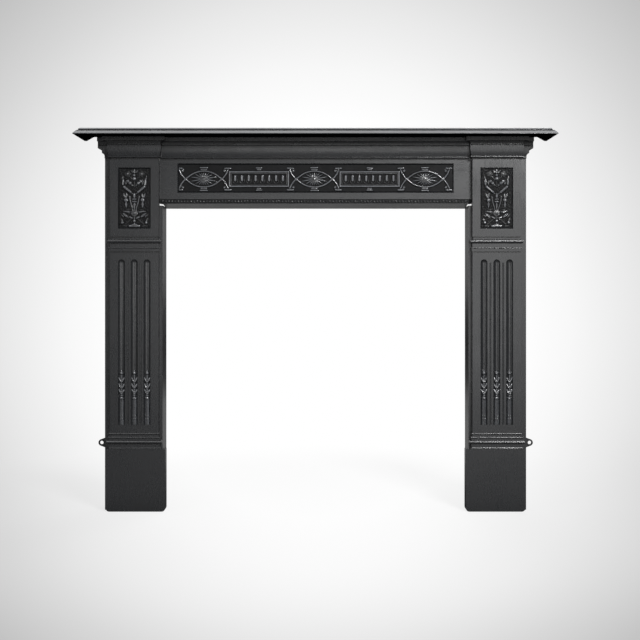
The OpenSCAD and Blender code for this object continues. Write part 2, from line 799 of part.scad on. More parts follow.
// Round forms of a husk drop, one above the other, drawn 1 high: a rod with two
// rings, a bead, two more rings, three bell husks, and two beads of a bud
module husk_forms() {
    cylinder(r = 0.034, h = 0.45);
    cylinder(r = 0.013, h = 0.97);
    for (z = [0.1, 0.16])
        translate([0, 0, z]) cylinder(r = 0.039, h = 0.016);
    translate([0, 0, 0.455]) sphere(r = 0.038);
    for (z = [0.505, 0.54])
        translate([0, 0, z]) cylinder(r = 0.025, h = 0.016);
    for (i = [0 : 2])
        translate([0, 0, 0.565 + 0.093 * i]) cylinder(r1 = 0.016, r2 = 0.056, h = 0.077);
    translate([0, 0, 0.905]) sphere(r = 0.028);
    translate([0, 0, 0.955]) sphere(r = 0.018);
}

// One husk drop, lying in its flute and cut off level with the pilaster's face
module husk_drop(x) {
    intersection() {
        translate([x, -husk_axis_d, flute_z]) scale(husk_h) husk_forms();
        translate([x, -flute_axis_d, flute_z]) cylinder(r = flute_r, h = husk_h);
        block(x - flute_w, x + flute_w, margin_d, pilaster_d + 1, flute_z, flute_z + husk_h);
    }
    for (z = husk_rivet_zs) {
        seat = pilaster_d - flute_depth;
        bar_d(x, flute_z + z, rivet_r - rivet_clearance, pilaster_hollow_d - rivet_head_h / 2, seat + 1);
        bar_d(x, flute_z + z, rivet_head_r, pilaster_hollow_d - rivet_head_h, pilaster_hollow_d);
    }
}

module husk_drops()
    for (x = flute_xs)
        husk_drop(x);

module left_husk_drops() color("#333436") on_side(LEFT) husk_drops();
module right_husk_drops() color("#404143") on_side(RIGHT) husk_drops();

// ---- Fasteners ----

// Hexagon of the stated width across flats, standing on the z axis
module hexagon(h) cylinder(r = hex_af / 2 / cos(30), h = h, $fn = 6);

// Bolt with its head's seat at the origin and its shank along z
module bolt(length) {
    translate([0, 0, -head_h]) hexagon(head_h);
    translate([0, 0, -0.1]) cylinder(r = bolt_r, h = length + 0.1);
}

module washer()
    difference() {
        cylinder(r = washer_r, h = washer_t);
        translate([0, 0, -over]) cylinder(r = bolt_r + 0.3, h = washer_t + 2 * over);
    }

module nut()
    difference() {
        hexagon(nut_h);
        translate([0, 0, -over]) cylinder(r = bolt_r + 0.05, h = nut_h + 2 * over);
    }

// Places a fastener at x on the axis of each frieze bolt, its z axis pointing outwards
module at_frieze_bolts(x)
    for (z = frieze_bolt_zs)
        translate([x, -bolt_d, z]) rotate([0, 90, 0]) children();

module frieze_bolts()
    at_frieze_bolts(pilaster_in - wall - washer_t)
        bolt(2 * (wall + washer_t) + nut_h + 3);

module frieze_nuts() at_frieze_bolts(pilaster_in + wall + washer_t) nut();

module frieze_washers() {
    at_frieze_bolts(pilaster_in - wall - washer_t) washer();
    at_frieze_bolts(pilaster_in + wall) washer();
}

module left_frieze_bolts() color("#77787a") on_side(LEFT) frieze_bolts();
module right_frieze_bolts() color("#77787a") on_side(RIGHT) frieze_bolts();
module left_frieze_nuts() color("#77787a") on_side(LEFT) frieze_nuts();
module right_frieze_nuts() color("#77787a") on_side(RIGHT) frieze_nuts();
module left_frieze_washers() color("#8a8b8d") on_side(LEFT) frieze_washers();
module right_frieze_washers() color("#8a8b8d") on_side(RIGHT) frieze_washers();

// Places a fastener under the top web, its z axis pointing up into the shelf
module at_shelf_bolts(xs)
    for (x = xs)
        translate([x, -bolt_d, cornice_top - wall - washer_t]) children();

module left_shelf_bolts()
    color("#77787a") on_side(LEFT) at_shelf_bolts(shelf_bolt_xs) bolt(washer_t + wall + bolt_bite);
module right_shelf_bolts()
    color("#77787a") on_side(RIGHT) at_shelf_bolts(shelf_bolt_xs) bolt(washer_t + wall + bolt_bite);
module left_shelf_washers() color("#8a8b8d") on_side(LEFT) at_shelf_bolts(shelf_bolt_xs) washer();
module right_shelf_washers() color("#8a8b8d") on_side(RIGHT) at_shelf_bolts(shelf_bolt_xs) washer();
module frieze_top_bolts()
    color("#77787a") in_frame() at_shelf_bolts(frieze_top_xs) bolt(washer_t + wall + bolt_bite);
module frieze_top_washers()
    color("#8a8b8d") in_frame() at_shelf_bolts(frieze_top_xs) washer();

left_jamb();
right_jamb();
frieze();
mantel_shelf();
left_wall_lug();
right_wall_lug();
left_floral_panel();
right_floral_panel();
frieze_relief_panel();
bead_strip();
left_husk_drops();
right_husk_drops();
left_frieze_bolts();
right_frieze_bolts();
left_frieze_nuts();
right_frieze_nuts();
left_frieze_washers();
right_frieze_washers();
left_shelf_bolts();
right_shelf_bolts();
left_shelf_washers();
right_shelf_washers();
frieze_top_bolts();
frieze_top_washers();
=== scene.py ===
# A black cast iron mantelpiece, put together as it is on the hearth: two jambs, the
# frieze between them, the shelf on top, then the reliefs, lugs and fixings.
# Metres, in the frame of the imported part: the front faces -Y and the wall is at +Y.
import math

import bmesh
import bpy
import numpy as np
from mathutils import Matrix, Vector


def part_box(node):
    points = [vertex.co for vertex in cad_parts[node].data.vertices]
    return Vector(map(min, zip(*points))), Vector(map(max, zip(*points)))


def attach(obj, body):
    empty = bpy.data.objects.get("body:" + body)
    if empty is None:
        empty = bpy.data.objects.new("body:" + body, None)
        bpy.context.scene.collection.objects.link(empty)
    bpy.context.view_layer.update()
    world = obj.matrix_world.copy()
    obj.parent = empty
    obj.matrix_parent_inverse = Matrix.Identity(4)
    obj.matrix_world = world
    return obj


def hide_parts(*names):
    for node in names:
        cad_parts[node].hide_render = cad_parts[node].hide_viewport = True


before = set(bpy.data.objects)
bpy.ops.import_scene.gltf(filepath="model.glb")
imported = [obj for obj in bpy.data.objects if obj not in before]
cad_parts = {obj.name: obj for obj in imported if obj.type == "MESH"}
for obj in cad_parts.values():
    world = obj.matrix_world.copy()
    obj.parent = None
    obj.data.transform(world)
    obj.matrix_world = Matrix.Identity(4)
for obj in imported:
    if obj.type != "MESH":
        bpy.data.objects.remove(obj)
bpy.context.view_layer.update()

# ---- Jambs ----
# Each jamb is one hollow casting in grey iron, poured in a sand mould and open at the
# back. The sand leaves every arris a little round and the faces faintly wavy. It is
# brushed with black stove polish, which takes a sheen where the brush rubs hardest, and
# its convex arrises are painted lighter as a painted highlight.

MM = 0.001
JAMB_ARRIS = 1.1 * MM                # how far the sand rounds an arris
SHARPEST_CURVE = math.radians(32)    # facets of a round moulding meet at less than this
FLATTEST_BEND = math.radians(0.3)    # facets of one flat face meet at less than this
TOUCHING = 0.002 * MM                # corners closer than this are one
FLAT_FACE_PULL = 60                  # how strongly flat faces keep their shading flat
PAINTED_SHADE, PLAIN, RUBBED_HIGHLIGHT = -1.0, 0.0, 0.75    # painted shade, plain, and rubbed polish with a painted highlight
BLACKING_AND_PAINTED_LIGHT = ("#101112", "#202123", "#484a4d")  # painted shade, plain faces, rubbed polish with a painted highlight
# Brush strokes along X, Y and Z in mm. Bristles leave marks less than 1 mm apart. They are
# drawn 3.5 mm apart, so that they show
UPRIGHT, LEVEL = (3.5, 3.5, 60.0), (60.0, 3.5, 3.5)


def colour(code):
    """An sRGB hex value as linear red, green, blue and alpha."""
    parts = [int(code[i:i + 2], 16) / 255 for i in (1, 3, 5)]
    return [c / 12.92 if c <= 0.04045 else ((c + 0.055) / 1.055) ** 2.4 for c in parts] + [1.0]


def bare_tree(owner):
    """Turns on the nodes of a new material or world, and clears them."""
    owner.use_nodes = True
    owner.node_tree.nodes.clear()
    return owner.node_tree


def add(tree, kind, inputs=(), **settings):
    """Adds one node with its settings, and sets each named input or links a socket to it."""
    node = tree.nodes.new(kind)
    for name, value in settings.items():
        setattr(node, name, value)
    for key, value in dict(inputs).items():
        if isinstance(value, bpy.types.NodeSocket):
            tree.links.new(value, node.inputs[key])
        else:
            node.inputs[key].default_value = value
    return node


def polished_iron(name, faces, strokes):
    """Sand-cast grey iron under black stove polish: nearly matt, with a graphite sheen.

    The eye sees a soft black that is smoother on rubbed arrises, and is painted lighter
    there as a painted highlight and darker under things and in hollows as a painted shade,
    a fine tooth from the sand, slow waves that bend the highlights, and the strokes of the
    polishing brush. faces holds the colours of the painted shade, the plain faces and the
    rubbed ones with their painted highlight. strokes is the strokes' length along X, Y and Z in
    mm.
    """
    painted_shade_face, plain_face, rubbed_highlight_face = (colour(code) for code in faces)
    least, most = 0.75, 1.25         # of stains and strokes together, about 1
    dullest, glossiest = 0.33, 0.24  # roughness of a plain face
    rubbed_smoother, sunk_duller = -0.08, 0.35
    plain_sheen = 0.75
    iron = bpy.data.materials.new(name)
    tree = bare_tree(iron)
    place = add(tree, "ShaderNodeTexCoord").outputs["Object"]
    stains = add(tree, "ShaderNodeTexNoise", {
        "Vector": place, "Scale": 1 / (70 * MM), "Detail": 5.0, "Roughness": 0.62}).outputs[0]
    # Moulding sand is 0.2 to 0.3 mm. It is drawn at 1.3 mm, so that it shows
    sand = add(tree, "ShaderNodeTexNoise", {
        "Vector": place, "Scale": 1 / (1.3 * MM), "Detail": 3.0, "Roughness": 0.7}).outputs[0]
    waves = add(tree, "ShaderNodeTexNoise", {
        "Vector": place, "Scale": 1 / (38 * MM), "Detail": 2.0, "Roughness": 0.45}).outputs[0]
    along = add(tree, "ShaderNodeVectorMath", {0: place, 1: [1 / (n * MM) for n in strokes]},
                operation="MULTIPLY").outputs[0]
    brush = add(tree, "ShaderNodeTexNoise", {
        "Vector": along, "Scale": 1.0, "Detail": 3.0, "Roughness": 0.6}).outputs[0]
    # The attribute runs from -1, full painted shade, to 1, rubbed polish with the strongest
    # painted highlight
    wear_and_painted_light = add(tree, "ShaderNodeAttribute", attribute_name="wear_and_painted_light").outputs["Fac"]
    rubbed = add(tree, "ShaderNodeMath", {0: wear_and_painted_light, 1: 0.0}, operation="MAXIMUM").outputs[0]
    sunk = add(tree, "ShaderNodeMath", {0: wear_and_painted_light, 1: -1.0},
               operation="MULTIPLY", use_clamp=True).outputs[0]
    mixed = add(tree, "ShaderNodeMath", {0: stains, 1: brush}, operation="ADD").outputs[0]
    uneven = add(tree, "ShaderNodeMapRange", {
        "Value": mixed, "From Min": least, "From Max": most,
        "To Min": least, "To Max": most}).outputs[0]
    # Painted shade darkens the colour below 0, and a painted highlight lightens it above 0
    with_painted_shade = add(tree, "ShaderNodeMix", {
        "Factor": sunk, "A": plain_face, "B": painted_shade_face}, data_type="RGBA").outputs[2]
    polish = add(tree, "ShaderNodeMix", {
        "Factor": rubbed, "A": with_painted_shade, "B": rubbed_highlight_face}, data_type="RGBA").outputs[2]
    shade = add(tree, "ShaderNodeVectorMath", {0: polish, "Scale": uneven}, operation="SCALE")
    dull = add(tree, "ShaderNodeMapRange", {
        "Value": mixed, "From Min": least, "From Max": most,
        "To Min": dullest, "To Max": glossiest}).outputs[0]
    smoothed = add(tree, "ShaderNodeMath", {0: rubbed, 1: rubbed_smoother, 2: dull},
                   operation="MULTIPLY_ADD").outputs[0]
    gloss = add(tree, "ShaderNodeMath", {0: sunk, 1: sunk_duller, 2: smoothed},
                operation="MULTIPLY_ADD")
    sheen = add(tree, "ShaderNodeMath", {0: wear_and_painted_light, 1: plain_sheen, 2: plain_sheen},
                operation="MULTIPLY_ADD")
    grain = add(tree, "ShaderNodeBump", {
        "Height": sand, "Strength": 0.5, "Distance": 0.04 * MM})
    brushed = add(tree, "ShaderNodeBump", {
        "Height": brush, "Strength": 0.5, "Distance": 0.025 * MM, "Normal": grain.outputs[0]})
    surface = add(tree, "ShaderNodeBump", {
        "Height": waves, "Strength": 0.6, "Distance": 0.2 * MM, "Normal": brushed.outputs[0]})
    skin = add(tree, "ShaderNodeBsdfPrincipled", {
        "Base Color": shade.outputs[0], "Roughness": gloss.outputs[0], "Metallic": 0.0,
        "Specular IOR Level": sheen.outputs[0], "Normal": surface.outputs[0]})
    add(tree, "ShaderNodeOutputMaterial", {"Surface": skin.outputs[0]})
    return iron


def put(name, data):
    """Puts a mesh, a lamp or the camera in the scene."""
    thing = bpy.data.objects.new(name, data)
    bpy.context.scene.collection.objects.link(thing)
    return thing


def settle(holder):
    """The plain mesh that an object's modifiers make of it. The object itself goes."""
    settled = bpy.context.evaluated_depsgraph_get()
    plain = bpy.data.meshes.new_from_object(holder.evaluated_get(settled))
    bpy.data.objects.remove(holder)
    return plain


def lay(mesh, name, slot, material, *nodes):
    """Makes a finished mesh a piece of the part, in place of the CAD nodes that it stands for."""
    piece = put(name, mesh)
    mesh.materials.clear()
    mesh.materials.append(material)
    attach(piece, "root")
    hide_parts(*nodes)


def cast(node, arris, in_painted_shade=lambda face: False):
    """A merged copy of a CAD casting with its arrises rounded, and the convex ones rubbed and
    painted lighter as a painted highlight.

    The third argument picks the faces that get a painted shade, darker and duller.
    """
    form = bmesh.new()
    form.from_mesh(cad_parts[node].data)
    bmesh.ops.remove_doubles(form, verts=form.verts, dist=TOUCHING)
    bmesh.ops.dissolve_limit(form, angle_limit=FLATTEST_BEND, verts=form.verts, edges=form.edges)
    edges = [e for e in form.edges
             if len(e.link_faces) == 2 and e.calc_face_angle() > SHARPEST_CURVE]
    bands = bmesh.ops.bevel(
        form, geom=edges, offset=arris, offset_type="OFFSET", segments=2, profile=0.5,
        affect="EDGES", clamp_overlap=True)["faces"]
    # Rounded convex arrises get rubbed polish with a painted highlight
    convex = {f for f in bands if f.is_valid and all(e.is_convex for e in f.edges)}
    wear_and_painted_light = form.faces.layers.float.new("wear_and_painted_light")
    for face in form.faces:
        # Painted shade on the faces the third argument picks, painted highlight on the convex
        # bands
        face[wear_and_painted_light] = PAINTED_SHADE if in_painted_shade(face) else RUBBED_HIGHLIGHT if face in convex else PLAIN
        face.smooth = True
    mesh = bpy.data.meshes.new(node + "_casting")
    form.to_mesh(mesh)
    form.free()
    rough = put(node + "_rough", mesh)
    rough.modifiers.new("faces stay flat", "WEIGHTED_NORMAL").weight = FLAT_FACE_PULL
    return settle(rough)


casting_iron = polished_iron("stove-polished cast iron", BLACKING_AND_PAINTED_LIGHT, UPRIGHT)
for jamb in ("left_jamb", "right_jamb"):
    lay(cast(jamb, JAMB_ARRIS), jamb + "_casting", "cast_iron", casting_iron, jamb)

# ---- Frieze ----
# One flat casting with a sunk panel, a cornice along its top, a channel for the beads and
# a soffit that falls from there to the wall. Flanges behind it are bolted to the jambs
# and the shelf.

FRIEZE_ARRIS = 0.9 * MM

frieze_iron = polished_iron("stove-polished cast iron, brushed along", BLACKING_AND_PAINTED_LIGHT, LEVEL)
lay(cast("frieze", FRIEZE_ARRIS), "frieze_casting", "cast_iron", frieze_iron, "frieze")

# ---- Mantel shelf ----
# A ribbed plate with a thumb moulding on its three open sides. It is bolted from below,
# so its top is unbroken. Its colours are painted lighter than the other castings' as
# painted light on its top, with a painted highlight on its edge and painted shade below.

SHELF_ARRIS = 0.9 * MM
# Painted shade below, then plain faces and rubbed edges, painted lighter than the other castings'
# as painted light
SHELF_PAINTED_LIGHT = ("#101112", "#46484b", "#8e9094")
SLOPES_DOWN = -0.3                   # a face whose normal falls by more looks down
NOSE_WIDTH = 7.5 * MM                # the hollow lies further in than this
PLATE_DEPTH = 8 * MM                 # and further below the top than this
shelf_low, shelf_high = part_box("mantel_shelf")


def under_shelf(face):
    """The hollow underside, and whatever else of the shelf looks down: all get a painted shade."""
    middle = face.calc_center_median()
    inside = min(middle.x - shelf_low.x, shelf_high.x - middle.x, middle.y - shelf_low.y)
    hollow = inside > NOSE_WIDTH and middle.z < shelf_high.z - PLATE_DEPTH
    return face.normal.z < SLOPES_DOWN or hollow


shelf_iron = polished_iron("shelf iron painted lighter", SHELF_PAINTED_LIGHT, LEVEL)
lay(cast("mantel_shelf", SHELF_ARRIS, under_shelf),
    "mantel_shelf_casting", "cast_iron", shelf_iron, "mantel_shelf")

# ---- Floral panels ----
# Thin castings with a spray of flowers, riveted into the recesses at the heads of the
# jambs. The two are the same casting. A vase bracket carries a stem with a rosette,
# scrolls, two slanting stalks and three flowers, all soft-edged from the mould.

# Painted shade on the ground, plain faces, and a painted highlight on what stands proud
RELIEF_PAINTED_LIGHT = ("#0a0a0b", "#1e1f21", "#5c5e62")
FLORAL_GRID = 0.62 * MM
FLORAL_SEAT = -15.0 * MM             # the recess floor
PLATE = 1.5 * MM
GROUND_SEED = 5
GROUND_NOISE = 9                     # mm, before it is softened
GROUND_MEAN, GROUND_MOST = 0.3, 1.0  # mm, after that
# Painted light on a relief, in mm of height: what is high and stands proud of what lies
# around it gets a painted highlight, and the ground gets a painted shade
AROUND = 14                          # passes of softening that give what lies around
PROUD, HIGH = 0.9, 3.0               # full painted highlight from these on
GROUND_TOP, GROUND_FADE = 2.52, 1.8  # painted shade below the first, deeper over the second
GROUND_SHADE = 0.8                  # and most of all by this


def half_round(off):
    """The height of a half-round section: 1 in its middle, and 0 from its edge at 1 on."""
    return np.sqrt(np.clip(1 - off ** 2, 0, 1))


def softened(heights, passes):
    """Rounds a map of heights as sand and polish do, by averaging neighbours."""
    for _ in range(passes):
        for ends in ([(1, 1), (0, 0)], [(0, 0), (1, 1)]):
            wide = np.pad(heights, ends, mode="edge")
            down = ends[0] == (1, 1)
            before, after = (wide[:-2], wide[2:]) if down else (wide[:, :-2], wide[:, 2:])
            heights = 0.25 * before + 0.5 * heights + 0.25 * after
    return heights


class Relief:
    """A cast plate as a map of heights in mm. Each form keeps its highest point."""

    def __init__(self, width, height, grid):
        self.x = np.linspace(-width / 2, width / 2, round(width / grid) + 1)
        self.z = np.linspace(-height / 2, height / 2, round(height / grid) + 1)
        self.px, self.pz = np.meshgrid(self.x / MM, self.z / MM)
        self.h = np.zeros_like(self.px)

    def press(self, rise):
        np.maximum(self.h, rise, out=self.h)

    def dome(self, off, rise, side):
        """A form with a steep side, a share of its rise, and a gently domed top."""
        self.press(np.where(off < 1, rise * (side + (1 - side) * half_round(off)), 0))

    def ball(self, x, z, r, rise):
        """A bead, which catches a broad highlight."""
        self.dome(np.hypot(self.px - x, self.pz - z) / r, rise, side=0.5)

    def ring(self, x, z, r, width, rise):
        off = np.abs(np.hypot(self.px - x, self.pz - z) - r) / (width / 2)
        self.press(rise * half_round(off))

    def along(self, a, b):
        """For each point, its share of the way from a to b and its distance to the side."""
        dx, dz = b[0] - a[0], b[1] - a[1]
        length = math.hypot(dx, dz)
        share = ((self.px - a[0]) * dx + (self.pz - a[1]) * dz) / length ** 2
        side = ((self.pz - a[1]) * dx - (self.px - a[0]) * dz) / length
        return share, side, length

    def stem(self, a, b, r0, r1, rise):
        """A round stalk from a to b with round ends."""
        share, side, length = self.along(a, b)
        near = np.clip(share, 0, 1)
        off = np.hypot(side, (share - near) * length) / (r0 + (r1 - r0) * near)
        self.dome(off, rise, side=0.4)

    def bar(self, x, z, half, r, rise):
        """A short level bar."""
        self.stem((x - half, z), (x + half, z), r, r, rise)

    def vine(self, points, r0, r1, rise):
        """A stalk that bends through several points and thins out."""
        steps = len(points) - 1
        for i in range(steps):
            near, far = (r0 + (r1 - r0) * k / steps for k in (i, i + 1))
            self.stem(points[i], points[i + 1], near, far, rise)

    def leaf(self, a, b, width, rise, lobes=0, vein=0.35):
        """A leaf from its stalk at a to its tip at b, with a sunk vein and scalloped sides."""
        swell, scallop, thinnest = 0.8, 0.3, 0.05
        furrow = 0.28                # width of the vein, as a share of half the leaf's
        at_root, lost_at_tip = 1.05, 0.35        # shares of the rise
        share, side, _ = self.along(a, b)
        inside = np.clip(share, 0.001, 0.999)
        half = width / 2 * np.sin(np.pi * inside ** swell) ** swell
        if lobes:
            half = half * (1 - scallop * np.abs(np.sin(lobes * np.pi * inside)))
        off = np.abs(side) / np.maximum(half, thinnest)
        veined = half_round(off) * (1 - vein * np.exp(-(off / furrow) ** 2))
        body = veined * (at_root - lost_at_tip * inside)
        self.press(np.where((share > 0) & (share < 1) & (off < 1), rise * body, 0))

    def flower(self, x, z, r, petals, rise, turn=0.0):
        """A rosette: petals round a bead, in shares of its radius and rise."""
        petal_width, petal_rise, bead_radius, bead_rise = 1.25, 0.8, 0.33, 1.15
        for k in range(petals):
            angle = turn + 2 * math.pi * k / petals
            tip = (x + r * math.sin(angle), z + r * math.cos(angle))
            self.leaf((x, z), tip, petal_width * r, rise * petal_rise, vein=0.25)
        self.ball(x, z, r * bead_radius, rise * bead_rise)

    def mesh(self, name, x, z, seat, plate):
        """A closed mesh in its place: forms in front, thin sides, and a flat back on the seat."""
        rows, columns = self.h.shape
        across, up = np.meshgrid(self.x, self.z)
        front = np.stack([across + x, seat - plate - self.h * MM, up + z], axis=-1)
        index = np.arange(rows * columns).reshape(rows, columns)
        quads = np.stack([index[:-1, :-1], index[:-1, 1:], index[1:, 1:], index[1:, :-1]], axis=-1)
        rim = np.concatenate([
            index[0, :-1], index[:-1, -1], index[-1, :0:-1], index[:0:-1, 0]])
        back = front.reshape(-1, 3)[rim].copy()
        back[:, 1] = seat
        foot = rows * columns + np.arange(len(rim))
        sides = np.stack([np.roll(rim, -1), rim, foot, np.roll(foot, -1)], axis=-1)
        faces = quads.reshape(-1, 4).tolist() + sides.tolist() + [foot[::-1].tolist()]
        mesh = bpy.data.meshes.new(name)
        mesh.from_pydata(np.concatenate([front.reshape(-1, 3), back]).tolist(), [], faces)
        flat = len(sides) + 1
        mesh.polygons.foreach_set("use_smooth", [True] * (len(faces) - flat) + [False] * flat)
        # Painted highlight on what stands proud, painted shade on the ground
        above = self.h - softened(self.h, AROUND)
        proud = np.clip(above / PROUD, 0, 1) * np.clip(self.h / HIGH, 0, 1)
        ground = np.clip((GROUND_TOP - self.h) / GROUND_FADE, 0, 1)
        wear_and_painted_light = np.concatenate([(proud - GROUND_SHADE * ground).ravel(), np.zeros(len(rim))])
        mesh.attributes.new("wear_and_painted_light", "FLOAT", "POINT").data.foreach_set("value", wear_and_painted_light)
        return mesh


def floral_spray(width, height):
    """The spray, drawn in mm from the middle of its panel."""
    spray = Relief(width, height, FLORAL_GRID)
    # The sand of the mould and small leaves leave no flat ground
    spray.h += np.random.default_rng(GROUND_SEED).random(spray.h.shape) * GROUND_NOISE
    spray.h = softened(spray.h, 5)
    spray.h = np.clip(spray.h - spray.h.mean() + GROUND_MEAN, 0, GROUND_MOST)
    spray.vine([(0, -84), (0, -60), (0, 6)], 2.0, 1.6, 2.4)
    spray.vine([(0, 36), (0, 60)], 1.4, 1.4, 1.6)
    spray.leaf((0, 79), (0, 95), 9, 4.0, lobes=3)
    spray.ball(0, 73.5, 3.8, 5.0)
    spray.ball(0, 62.3, 5.8, 7.6)
    for s in (-1, 1):
        # Small leaves at the top, and rosettes on curling stalks
        spray.leaf((s * 3, 81), (s * 13, 91), 6, 3.2)
        spray.vine([(s * 3, 56), (s * 10, 64), (s * 17, 71)], 1.5, 1.2, 1.8)
        spray.flower(s * 22, 77.5, 10.5, 5, 2.4, turn=0.3)
        # Two-lobed scrolls under the great bead
        spray.stem((s * 13.5, 48), (s * 20.5, 54), 3.4, 3.4, 5.2)
        spray.ball(s * 13.5, 48, 5.0, 7.2)
        spray.ball(s * 20.5, 54, 4.8, 6.8)
        spray.leaf((s * 11, 46), (s * 3, 38), 5.5, 3.6)
        # Upright leaves at the sides
        spray.leaf((s * 36, 41), (s * 35.5, 64), 8.5, 5.8)
        spray.leaf((s * 38, 60), (s * 38, 73), 4.5, 3.0)
        spray.leaf((s * 27, 43), (s * 26, 60), 6, 3.4)
        # Slanting stalks, the boldest lines of the spray
        spray.stem((s * 32.5, 36), (s * 12, 19), 4.2, 3.4, 7.2)
        spray.stem((s * 10, 17), (s * 4, 13), 2.0, 1.6, 2.6)
        # Paired small leaves over a bead with a hanging bud
        spray.leaf((s * 26.5, 0), (s * 24.5, 17), 6.5, 4.6)
        spray.leaf((s * 29, 0), (s * 35, 17), 6.5, 4.6)
        spray.ball(s * 26.4, -6.5, 6.2, 7.8)
        spray.leaf((s * 26.4, -11), (s * 26.4, -32), 9, 5.0, lobes=2)
        # Long blades that sheath the stem
        blade = [(s * 15, 5), (s * 14, -6), (s * 11, -18), (s * 7, -30), (s * 5, -42)]
        spray.vine(blade, 2.3, 1.9, 2.4)
        # Ferns and lobed leaves beside the lower flower
        for root, tip, breadth, rise in [
                ((14, -39), (33, -34), 4, 1.9), ((12, -45), (38, -41.5), 7, 4.4),
                ((20, -62), (38, -48), 9.5, 6.2), ((5, -65), (19, -59), 7.5, 5.4),
                ((34, -60), (43, -52), 6, 3.2)]:
            spray.leaf((s * root[0], root[1]), (s * tip[0], tip[1]), breadth, rise, lobes=3)
        # Scrolled arms down to the corners
        spray.vine([(s * 4, -64), (s * 13, -69), (s * 21, -77), (s * 30, -84)], 3.0, 2.2, 1.2)
        spray.ball(s * 38.3, -78.5, 4.5, 5.8)
        spray.leaf((s * 38, -75), (s * 43, -64), 5.5, 3.2)
        spray.leaf((s * 24, -90), (s * 41, -89), 5.5, 2.0)
    # Knops and rings on the stem, the lower flower and the beads
    spray.stem((0, 4), (0, 12.5), 3.7, 3.5, 6.6)
    spray.bar(0, -3.4, 4.6, 2.0, 5.6)
    spray.bar(0, -11.5, 5.0, 2.0, 5.6)
    spray.leaf((0, -14), (0, -38), 7, 4.4, lobes=3)
    spray.flower(0, -48.6, 11.5, 7, 4.6)
    spray.ball(0, -73.4, 4.6, 6.2)
    # Bracket of the vase
    spray.bar(0, -89.8, 15, 3.6, 6.6)
    spray.bar(0, -86, 6, 2.8, 5.8)
    spray.ball(0, -83, 3.0, 4.8)
    spray.h = softened(spray.h, 1)
    return spray


def place_of(node):
    """The width and height of a CAD node's box, and the X and Z of its middle."""
    low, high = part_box(node)
    return high.x - low.x, high.z - low.z, (low.x + high.x) / 2, (low.z + high.z) / 2


relief_iron = polished_iron("relief iron with painted light", RELIEF_PAINTED_LIGHT, (9, 9, 9))
for side in ("left", "right"):
    width, height, x, z = place_of(side + "_floral_panel")
    name = side + "_floral_spray"
    lay(floral_spray(width, height).mesh(name, x, z, FLORAL_SEAT, PLATE),
        name, "relief_iron", relief_iron, side + "_floral_panel")

# ---- Frieze relief ----
# One long thin casting riveted into the frieze. Three pointed ovals hold fans of
# petals, two moulded frames hold rows of tongues, and ribbons cross at the ovals' tips.

FRIEZE_GRID = 0.9 * MM
FRIEZE_SEAT = 9.0 * MM
ORNAMENT_SET = (4.0, 3.0)            # mm, how far left of and below the plate's middle
OVAL_PITCH = 357.6                   # mm from one oval to the next
OVAL_HALF = (60.0, 28.0)             # mm, half its length and half its height
OVAL_BAND = (2.4, 2.7, 3.8)          # mm in from the oval, half its width, and its rise
PETALS = 18
FRAME = (196.5, 52.6)                # mm over the outside of a frame
FRAME_BAND = (3.2, 3.3, 4.0)         # mm in from the outside, half its width, and its rise
FRAME_FILLET = (5.5, 1.3, 2.2)       # mm in from that band, half its width, and its rise
TONGUES, TONGUE_PITCH = 8, 22.0      # in each frame, and mm from one to the next


